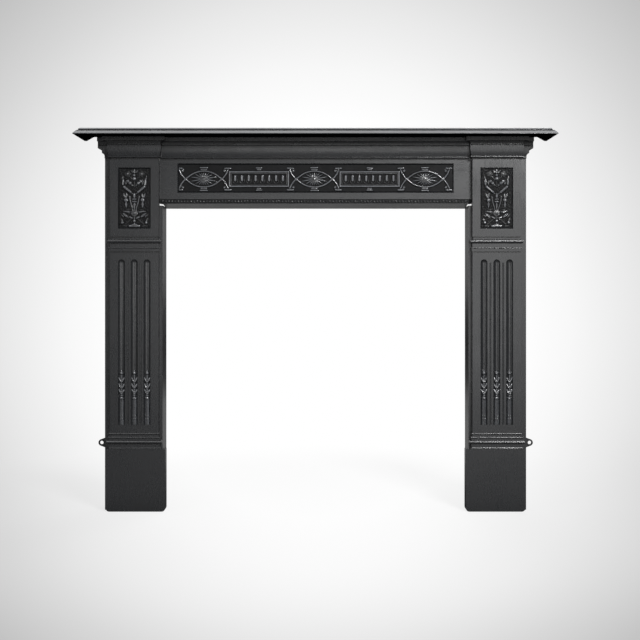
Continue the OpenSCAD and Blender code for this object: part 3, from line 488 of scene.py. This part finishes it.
def frieze_ornament(width, height):
    """The ornament, drawn in mm from its own middle."""
    long = Relief(width, height, FRIEZE_GRID)
    long.px += ORNAMENT_SET[0]
    long.pz += ORNAMENT_SET[1]
    a, b = OVAL_HALF
    bow = (a * a + b * b) / (2 * b)  # radius of an oval's two sides
    band_in, band_half, band_rise = OVAL_BAND
    for middle in (-OVAL_PITCH, 0.0, OVAL_PITCH):
        for s in (-1, 1):
            # Side of the oval, a round band on an arc that stops at the tips
            off = np.hypot(long.px - middle, long.pz + s * (bow - b)) - bow + band_in
            here = (np.abs(long.px - middle) < a) & (s * long.pz > -2)
            long.press(np.where(here, band_rise * half_round(off / band_half), 0))
            # Moulded tabs above and below
            long.bar(middle, s * (b + 2.4), 8.5, 2.7, 3.4)
            long.bar(middle, s * (b + 8.8), 11, 2.7, 4.0)
            for t in (-1, 1):
                # Ribbons run on past the tips, and end in a flat foot and a curl
                ribbon = [(-3, 3), (5, -6), (13, -17), (19, -30)]
                long.vine([(middle + t * (a + x), s * z) for x, z in ribbon], 2.6, 2.4, 3.8)
                long.bar(middle + t * (a + 18), s * -35, 9, 2.8, 3.6)
                long.ball(middle + t * (a + 8), s * -27, 3.4, 4.0)
                long.ring(middle + t * (a + 9), s * -27.5, 5.2, 2.0, 2.6)
        # Fan of petals, each as long as the oval leaves room for
        for k in range(PETALS):
            angle = 2 * math.pi * (k + 0.5) / PETALS
            ux, uz = math.cos(angle), math.sin(angle)
            below = (bow - b) * abs(uz)
            reach = -below + math.sqrt(below ** 2 + (bow - 6) ** 2 - (bow - b) ** 2)
            long.leaf((middle + 3 * ux, 3 * uz), (middle + reach * ux, reach * uz),
                      2.6 + 0.06 * reach, 4.8, vein=0.0)
        long.ball(middle, 0, 5.0, 5.2)
        long.ring(middle, 0, 7.0, 2.0, 3.4)
    band_in, band_half, band_rise = FRAME_BAND
    fillet_in, fillet_half, fillet_rise = FRAME_FILLET
    half_w, half_h = (side / 2 - band_in for side in FRAME)
    for middle in (-OVAL_PITCH / 2, OVAL_PITCH / 2):
        # Frame: a round band with a thin fillet inside it
        box = np.maximum(np.abs(long.px - middle) - half_w, np.abs(long.pz) - half_h)
        long.press(band_rise * half_round(box / band_half))
        long.press(np.where(np.abs(box + fillet_in) < fillet_half, fillet_rise, 0))
        for k in range(TONGUES):
            x = middle + (k - (TONGUES - 1) / 2) * TONGUE_PITCH
            long.stem((x, 9), (x, -4.5), 4.3, 3.9, 5.0)
            long.ring(x, -6.5, 7.2, 2.0, 1.8)
        for s in (-1, 1):
            long.bar(middle, s * (FRAME[1] / 2 + 4.2), 5.5, 2.6, 3.6)
            long.bar(middle, s * (FRAME[1] / 2 + 9.6), 8.5, 2.6, 3.6)
    long.h = softened(long.h, 1)
    return long


width, height, x, z = place_of("frieze_relief_panel")
lay(frieze_ornament(width, height).mesh("frieze_relief", x, z, FRIEZE_SEAT, PLATE),
    "frieze_relief", "relief_iron", relief_iron, "frieze_relief_panel")

# ---- Husk drops ----
# Three narrow castings stand in the flutes of each jamb: a ringed rod, a bead, three
# bell husks one above the other, and a bud. Each is riveted through the flute's floor.

HUSK_GRID = 0.55 * MM
HUSK_BURIED = -12.5 * MM             # back of the drop, just inside the wall of its flute
HUSK_WIDTH = 20.6 * MM
FLUTES = (-0.041, 0.0, 0.041)        # their places from the middle of the pilaster


def husk_drop(height):
    """One drop, drawn in mm up from its foot."""
    drop = Relief(HUSK_WIDTH, height, HUSK_GRID)
    drop.pz += height / MM / 2
    drop.stem((0, -6), (0, 80), 6.6, 6.2, 9.4)
    for z, half, rise in [(19, 4.0, 9.6), (30, 4.0, 9.6), (93, 1.8, 10.2), (99, 2.6, 10.2)]:
        drop.bar(0, z, half, 2.3, rise)
    drop.stem((0, 80), (0, 172), 2.6, 2.4, 7.5)
    drop.ball(0, 84.5, 6.2, 11.0)
    for root, tip in [(101, 115), (117, 134), (136, 154)]:
        drop.ball(0, root + 3, 4.2, 9.4)
        for s in (-1, 1):
            drop.leaf((s * 0.5, root), (s * 10.2, tip), 7.5, 10.6, vein=0.2)
        drop.leaf((0, root + 1), (0, tip - 5), 4.5, 8.2, vein=0.2)
    drop.ball(0, 165, 4.9, 10.6)
    for z, half in [(170.5, 1.6), (174.5, 1.1), (178, 0.5)]:
        drop.bar(0, z, half, 1.7, 8.6)
    drop.h = softened(drop.h, 1)
    return drop


for side in ("left", "right"):
    _, height, x, z = place_of(side + "_husk_drops")
    trio = bmesh.new()
    for flute in FLUTES:
        one = husk_drop(height).mesh("drop", x + flute, z, HUSK_BURIED, 0.0)
        trio.from_mesh(one)
        bpy.data.meshes.remove(one)
    joined = bpy.data.meshes.new(side + "_husks")
    trio.to_mesh(joined)
    trio.free()
    lay(joined, side + "_husks", "relief_iron", relief_iron, side + "_husk_drops")

# ---- Bead strip ----
# A cast strip of round beads, riveted into the channel along the foot of the frieze.
# The strip and the backs of the beads get a painted shade that fades out towards the fronts.

BEAD_PITCH = 10.2 * MM
BEAD_RADIUS = 4.4 * MM
CHANNEL_SEAT = 8.5 * MM
SHADE_FADE, BACK_SHADE = 1.1, 0.65   # how the painted shade fades from the strip to the fronts


def tree_for(name, sizes):
    """A Geometry Nodes tree with named float inputs for its sizes."""
    tree = bpy.data.node_groups.new(name, "GeometryNodeTree")
    tree.interface.new_socket("Geometry", in_out="INPUT", socket_type="NodeSocketGeometry")
    tree.interface.new_socket("Geometry", in_out="OUTPUT", socket_type="NodeSocketGeometry")
    for size in sizes:
        tree.interface.new_socket(size, in_out="INPUT", socket_type="NodeSocketFloat")
    return tree, add(tree, "NodeGroupInput").outputs


def grow(tree, points, sizes):
    """Runs a tree on loose points and gives the result as a plain mesh."""
    base = bpy.data.meshes.new(tree.name)
    base.from_pydata(points, [], [])
    holder = put(tree.name, base)
    growth = holder.modifiers.new(tree.name, "NODES")
    growth.node_group = tree
    for socket in tree.interface.items_tree:
        if socket.in_out == "INPUT" and socket.name in sizes:
            growth[socket.identifier] = float(sizes[socket.name])
    return settle(holder)


strip_tree, size = tree_for(
    "beads on a strip", ["Length", "Height", "Thickness", "Pitch", "Radius"])
count = add(strip_tree, "ShaderNodeMath", {0: size["Length"], 1: size["Pitch"]},
            operation="DIVIDE")
whole = add(strip_tree, "ShaderNodeMath", {0: count.outputs[0]}, operation="FLOOR")
span = add(strip_tree, "ShaderNodeMath", {0: whole.outputs[0], 1: size["Pitch"]},
           operation="MULTIPLY")
between = add(strip_tree, "ShaderNodeMath", {0: span.outputs[0], 1: size["Pitch"]},
              operation="SUBTRACT")
first = add(strip_tree, "ShaderNodeMath", {0: between.outputs[0], 1: -0.5},
            operation="MULTIPLY")
start = add(strip_tree, "ShaderNodeCombineXYZ", {"X": first.outputs[0]})
step = add(strip_tree, "ShaderNodeCombineXYZ", {"X": size["Pitch"]})
row = add(strip_tree, "GeometryNodeMeshLine", {
    "Count": whole.outputs[0], "Start Location": start.outputs[0], "Offset": step.outputs[0]})
bead = add(strip_tree, "GeometryNodeMeshIcoSphere", {
    "Radius": size["Radius"], "Subdivisions": 3})
round_bead = add(strip_tree, "GeometryNodeSetShadeSmooth", {"Geometry": bead.outputs[0]})
beads = add(strip_tree, "GeometryNodeInstanceOnPoints", {
    "Points": row.outputs[0], "Instance": round_bead.outputs[0]})
strip_size = add(strip_tree, "ShaderNodeCombineXYZ", {
    "X": size["Length"], "Y": size["Thickness"], "Z": size["Height"]})
strip = add(strip_tree, "GeometryNodeMeshCube", {"Size": strip_size.outputs[0]})
both = add(strip_tree, "GeometryNodeJoinGeometry")
for part in (strip, beads):
    strip_tree.links.new(part.outputs[0], both.inputs[0])
solid = add(strip_tree, "GeometryNodeRealizeInstances", {0: both.outputs[0]})
blacked = add(strip_tree, "GeometryNodeSetMaterial", {
    0: solid.outputs[0], "Material": relief_iron})
add(strip_tree, "NodeGroupOutput", {0: blacked.outputs[0]})

length, height, x, z = place_of("bead_strip")
beaded = grow(strip_tree, [], {
    "Length": length, "Height": height, "Thickness": PLATE,
    "Pitch": BEAD_PITCH, "Radius": BEAD_RADIUS})
for vertex in beaded.vertices:
    vertex.co += Vector((x, CHANNEL_SEAT - PLATE / 2, z))
strip_front = CHANNEL_SEAT - PLATE
# Painted shade on the strip and the backs of the beads, fading out towards their fronts
bead_shade = beaded.attributes.new("wear_and_painted_light", "FLOAT", "POINT")
bead_shade.data.foreach_set("value", [
    min(0.0, (strip_front - v.co.y) / BEAD_RADIUS * SHADE_FADE - BACK_SHADE)
    for v in beaded.vertices])
lay(beaded, "beads", "relief_iron", relief_iron, "bead_strip")

# ---- Rivets ----
# The reliefs are held by rivets cast on their backs, which pass through the iron and are
# peened over behind it. Only their heads show, from the back.

RIVET_RADIUS, RIVET_HEIGHT = 4.5 * MM, 1.8 * MM
JAMB_BACK = -7.5 * MM                # back of the pilaster's face
FRIEZE_BACK = 14.5 * MM
SIDE_INSET = 8.6 * MM                # from a plate's sides
FRIEZE_INSET = 4.1 * MM              # from the long edges of the frieze's plate
ALONG_FRIEZE = 0.33                  # share of that plate's length, from each end
UP_A_DROP = (0.06, 0.35, 0.9)        # shares of a husk drop's height
ALONG_STRIP = (-0.94, -0.5, 0, 0.5, 0.94)        # shares of half its length

rivet_tree, size = tree_for("peened heads", ["Radius", "Height"])
head = add(rivet_tree, "GeometryNodeMeshUVSphere", {
    "Segments": 20, "Rings": 10, "Radius": size["Radius"]})
smooth_head = add(rivet_tree, "GeometryNodeSetShadeSmooth", {"Geometry": head.outputs[0]})
flatness = add(rivet_tree, "ShaderNodeMath", {0: size["Height"], 1: size["Radius"]},
               operation="DIVIDE")
flattened = add(rivet_tree, "ShaderNodeCombineXYZ", {
    "X": 1.0, "Y": flatness.outputs[0], "Z": 1.0})
spots = add(rivet_tree, "GeometryNodeMeshToPoints", {0: size["Geometry"]})
heads = add(rivet_tree, "GeometryNodeInstanceOnPoints", {
    "Points": spots.outputs[0], "Instance": smooth_head.outputs[0],
    "Scale": flattened.outputs[0]})
peened = add(rivet_tree, "GeometryNodeRealizeInstances", {0: heads.outputs[0]})
iron_heads = add(rivet_tree, "GeometryNodeSetMaterial", {
    0: peened.outputs[0], "Material": casting_iron})
add(rivet_tree, "NodeGroupOutput", {0: iron_heads.outputs[0]})


def corners(node, inset_x, inset_z, back):
    """Four places inside the corners of a plate, behind it."""
    low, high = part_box(node)
    return [(x, back, z) for x in (low.x + inset_x, high.x - inset_x)
            for z in (low.z + inset_z, high.z - inset_z)]


places = []
for side in ("left", "right"):
    places += corners(side + "_floral_panel", SIDE_INSET, SIDE_INSET, JAMB_BACK)
    low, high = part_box(side + "_husk_drops")
    places += [((low.x + high.x) / 2 + flute, JAMB_BACK, low.z + up * (high.z - low.z))
               for flute in FLUTES for up in UP_A_DROP]
width = place_of("frieze_relief_panel")[0]
for inset in (SIDE_INSET, width * ALONG_FRIEZE):
    places += corners("frieze_relief_panel", inset, FRIEZE_INSET, FRIEZE_BACK)
low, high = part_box("bead_strip")
places += [(share * high.x, FRIEZE_BACK, (low.z + high.z) / 2) for share in ALONG_STRIP]
lay(grow(rivet_tree, places, {"Radius": RIVET_RADIUS, "Height": RIVET_HEIGHT}),
    "rivet_heads", "relief_iron", casting_iron,
    "left_floral_panel", "right_floral_panel", "frieze_relief_panel", "bead_strip",
    "left_husk_drops", "right_husk_drops")

# ---- Wall lugs ----
# An iron angle on the outer side of each jamb, with two rivets through the jamb and an
# ear against the wall for one screw. It is blacked with the rest.

LUG_ARRIS = 0.5 * MM

for lug in ("left_wall_lug", "right_wall_lug"):
    lay(cast(lug, LUG_ARRIS), lug + "_angle", "cast_iron", casting_iron, lug)

# ---- Bolts, nuts and washers ----
# M8 hexagon bolts in zinc-plated steel join the castings from behind. The plating is
# fine-grained, pale grey and a little dull, with darker patches where it was handled.


def plated_steel(name):
    """Zinc-plated steel: a pale grey metal, with a fine spangle that breaks up its gloss."""
    steel = bpy.data.materials.new(name)
    tree = bare_tree(steel)
    place = add(tree, "ShaderNodeTexCoord").outputs["Object"]
    # The plating's crystals are finer than 0.1 mm. They are drawn at 2.5 mm, so that they show
    spangle = add(tree, "ShaderNodeTexNoise", {
        "Vector": place, "Scale": 1 / (2.5 * MM), "Detail": 3.0}).outputs[0]
    handled = add(tree, "ShaderNodeTexNoise", {
        "Vector": place, "Scale": 1 / (9 * MM), "Detail": 2.0}).outputs[0]
    plate = add(tree, "ShaderNodeMix", {
        "Factor": handled, "A": colour("#7d8083"), "B": colour("#a9abad")}, data_type="RGBA")
    dull = add(tree, "ShaderNodeMapRange", {
        "Value": spangle, "To Min": 0.3, "To Max": 0.48}).outputs["Result"]
    bumps = add(tree, "ShaderNodeBump", {
        "Height": spangle, "Strength": 0.3, "Distance": 0.03 * MM})
    skin = add(tree, "ShaderNodeBsdfPrincipled", {
        "Base Color": plate.outputs[2], "Metallic": 1.0, "Roughness": dull,
        "Normal": bumps.outputs[0]})
    add(tree, "ShaderNodeOutputMaterial", {"Surface": skin.outputs[0]})
    return steel


zinc = plated_steel("zinc-plated steel")
for node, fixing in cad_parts.items():
    if "bolts" in node or "nuts" in node or "washers" in node:
        fixing.data.materials.clear()
        fixing.data.materials.append(zinc)

# ---- Studio ----
# A pale floor that keeps a soft shadow, pale surroundings that darken slowly away from
# the middle of the picture, soft lamps to the right of the camera, a broad one low and
# a small one high, and weaker ones on the left and behind.

EYE = Vector((0.0144, -3.9975, 0.729))
PICTURE = 640                        # pixels across
FOCAL = 1238.6                       # pixels
HORIZON = 36                         # pixels above the picture's middle
SENSOR = 36                          # mm
WHITE = colour("#ffffff")
# Grey of the surroundings, by the distance in pixels from the picture's middle
FALL_OFF = [(200, "#ffffff"), (250, "#f8f8f8"), (317, "#e9e9e9"), (382, "#d6d6d6"),
            (448, "#c3c3c3")]
# What the iron mirrors, by direction: its light rises from one value to another while
# the direction's X, Y or Z rises from one value to another
MIRRORED = {"level": ("Z", -0.2, 0.5, 0.03, 0.4), "overhead": ("Z", 0.7, 0.95, 0.0, 2.8),
            "behind": ("Y", 0.2, 0.9, 0.0, 0.27)}
# What it mirrors of the floor, along Y in metres: a bright part behind and a dimmer one
# in front, each between two edges
FLOOR_EDGES = {"back": (0.4, 1.6, 0.0, 1.0), "far": (4.1, 4.9, 1.0, 0.0),
               "fore": (-2.4, -1.4, 0.0, 0.55), "near": (-0.4, 0.0, 1.0, 0.0)}
FLOOR_CORNERS = [(-30, -30, 0), (30, -30, 0), (30, 60, 0), (-30, 60, 0)]


def surroundings(tree, radius):
    """The pale grey for a distance from the picture's middle, in pixels."""
    corner = FALL_OFF[-1][0]
    share = add(tree, "ShaderNodeMath", {0: radius, 1: 1 / corner},
                operation="MULTIPLY", use_clamp=True)
    ramp = add(tree, "ShaderNodeValToRGB", {0: share.outputs[0]})
    stops = ramp.color_ramp.elements
    for stop, (far, grey) in zip(stops, (FALL_OFF[0], FALL_OFF[-1])):
        stop.position, stop.color = far / corner, colour(grey)
    for far, grey in FALL_OFF[1:-1]:
        stops.new(far / corner).color = colour(grey)
    return ramp.outputs["Color"]


def pixels_out(tree, across, ahead, up):
    """Distance in the picture from its middle, for a place given from the camera."""
    nearest = 0.2                    # whatever is behind the camera counts as this far ahead
    depth = add(tree, "ShaderNodeMath", {0: ahead, 1: nearest}, operation="MAXIMUM").outputs[0]
    sideways = add(tree, "ShaderNodeMath", {0: across, 1: depth}, operation="DIVIDE").outputs[0]
    upwards = add(tree, "ShaderNodeMath", {0: up, 1: depth}, operation="DIVIDE").outputs[0]
    raised = add(tree, "ShaderNodeMath", {0: upwards, 1: HORIZON / FOCAL},
                 operation="ADD").outputs[0]
    apart = add(tree, "ShaderNodeCombineXYZ", {0: sideways, 1: raised})
    distance = add(tree, "ShaderNodeVectorMath", {0: apart.outputs[0]}, operation="LENGTH")
    return add(tree, "ShaderNodeMath", {0: distance.outputs["Value"], 1: FOCAL},
               operation="MULTIPLY").outputs[0]


studio = bpy.data.worlds.new("pale studio")
tree = bare_tree(studio)
direction = add(tree, "ShaderNodeTexCoord").outputs["Generated"]
look = add(tree, "ShaderNodeSeparateXYZ", {0: direction}).outputs
seen = add(tree, "ShaderNodeBackground", {
    "Color": surroundings(tree, pixels_out(tree, look["X"], look["Y"], look["Z"])),
    "Strength": 1.0})
light = {}
for part, (axis, start, end, least, most) in MIRRORED.items():
    light[part] = add(tree, "ShaderNodeMapRange", {
        "Value": look[axis], "From Min": start, "From Max": end,
        "To Min": least, "To Max": most}).outputs[0]
walls = add(tree, "ShaderNodeMath", {0: light["level"], 1: light["behind"]},
            operation="MAXIMUM").outputs[0]
around = add(tree, "ShaderNodeMath", {0: walls, 1: light["overhead"]}, operation="ADD").outputs[0]
mirrored = add(tree, "ShaderNodeBackground", {"Color": WHITE, "Strength": around})
ambient = add(tree, "ShaderNodeBackground", {"Color": WHITE, "Strength": 0.2})
ray = add(tree, "ShaderNodeLightPath").outputs
shiny = add(tree, "ShaderNodeMath", {
    0: ray["Is Glossy Ray"], 1: ray["Is Transmission Ray"]}, operation="MAXIMUM")
lit = add(tree, "ShaderNodeMixShader", {
    0: shiny.outputs[0], 1: ambient.outputs[0], 2: mirrored.outputs[0]})
shown = add(tree, "ShaderNodeMixShader", {
    0: ray["Is Camera Ray"], 1: lit.outputs[0], 2: seen.outputs[0]})
add(tree, "ShaderNodeOutputWorld", {"Surface": shown.outputs[0]})
scene = bpy.context.scene
scene.world = studio

floor_mesh = bpy.data.meshes.new("floor")
floor_mesh.from_pydata(FLOOR_CORNERS, [], [(0, 1, 2, 3)])
paper = bpy.data.materials.new("pale paper floor")
tree = bare_tree(paper)
place = add(tree, "ShaderNodeTexCoord").outputs["Object"]
spot = add(tree, "ShaderNodeSeparateXYZ", {0: place}).outputs
ahead = add(tree, "ShaderNodeMath", {0: spot["Y"], 1: -EYE.y}, operation="ADD").outputs[0]
across = add(tree, "ShaderNodeMath", {0: spot["X"], 1: -EYE.x}, operation="ADD").outputs[0]
pale = surroundings(tree, pixels_out(tree, across, ahead, -EYE.z))
# Near the piece the paper is a little darker and takes its shadow
glow = add(tree, "ShaderNodeEmission", {"Color": pale, "Strength": 0.86})
shaded = add(tree, "ShaderNodeBsdfDiffuse", {"Color": colour("#727272")})
near = add(tree, "ShaderNodeAddShader", {0: glow.outputs[0], 1: shaded.outputs[0]})
far = add(tree, "ShaderNodeEmission", {"Color": pale, "Strength": 1.0})
flat = add(tree, "ShaderNodeCombineXYZ", {"X": spot["X"], "Y": spot["Y"]})
away = add(tree, "ShaderNodeVectorMath", {0: flat.outputs[0]}, operation="LENGTH")
fade = add(tree, "ShaderNodeMapRange", {
    "Value": away.outputs["Value"], "From Min": 0.9, "From Max": 1.7},
    interpolation_type="SMOOTHSTEP")
seen = add(tree, "ShaderNodeMixShader", {
    0: fade.outputs["Result"], 1: near.outputs[0], 2: far.outputs[0]})
bounce = add(tree, "ShaderNodeBsdfDiffuse", {"Color": colour("#5c5c5c")})
swept = add(tree, "ShaderNodeEmission", {"Color": WHITE, "Strength": 0.33})
light = {}
for part, (start, end, least, most) in FLOOR_EDGES.items():
    light[part] = add(tree, "ShaderNodeMapRange", {
        "Value": spot["Y"], "From Min": start, "From Max": end,
        "To Min": least, "To Max": most}).outputs[0]
back = add(tree, "ShaderNodeMath", {0: light["back"], 1: light["far"]},
           operation="MULTIPLY").outputs[0]
fore = add(tree, "ShaderNodeMath", {0: light["fore"], 1: light["near"]},
           operation="MULTIPLY").outputs[0]
bright = add(tree, "ShaderNodeMath", {0: back, 1: fore}, operation="MAXIMUM").outputs[0]
ray = add(tree, "ShaderNodeLightPath").outputs
gloss = add(tree, "ShaderNodeMath", {0: ray["Is Glossy Ray"], 1: bright}, operation="MULTIPLY")
under = add(tree, "ShaderNodeMixShader", {
    0: gloss.outputs[0], 1: bounce.outputs[0], 2: swept.outputs[0]})
sheet = add(tree, "ShaderNodeMixShader", {
    0: ray["Is Camera Ray"], 1: under.outputs[0], 2: seen.outputs[0]})
add(tree, "ShaderNodeOutputMaterial", {"Surface": sheet.outputs[0]})
floor_mesh.materials.append(paper)
put("floor", floor_mesh)


def softbox(name, place, aim, width, height, watts):
    """A soft lamp at its place, turned to what it is aimed at."""
    lamp = bpy.data.lights.new(name, "AREA")
    lamp.shape = "RECTANGLE"
    lamp.size, lamp.size_y, lamp.energy = width, height, watts
    holder = put(name, lamp)
    holder.location = place
    holder.rotation_euler = (Vector(aim) - Vector(place)).to_track_quat("-Z", "Y").to_euler()


softbox("broad key", (0.35, -4.2, 0.48), (0.1, 0.0, 0.7), 2.6, 1.7, 24.5)
softbox("high key", (1.7, -3.9, 2.75), (0.3, 0.0, 0.8), 1.1, 0.8, 180)
softbox("fill", (-2.6, -2.6, 1.2), (0.0, 0.0, 0.7), 1.6, 1.6, 15)
softbox("behind the shelf", (0.7, 3.0, 2.3), (0.0, 0.0, 0.9), 1.8, 1.2, 32)

lens = bpy.data.cameras.new("camera")
lens.sensor_width = SENSOR
lens.lens = FOCAL / PICTURE * SENSOR
lens.shift_y = -HORIZON / PICTURE
camera = put("camera", lens)
camera.location = EYE
camera.rotation_euler = (math.pi / 2, 0, 0)
scene.camera = camera
scene.view_settings.view_transform = "Standard"
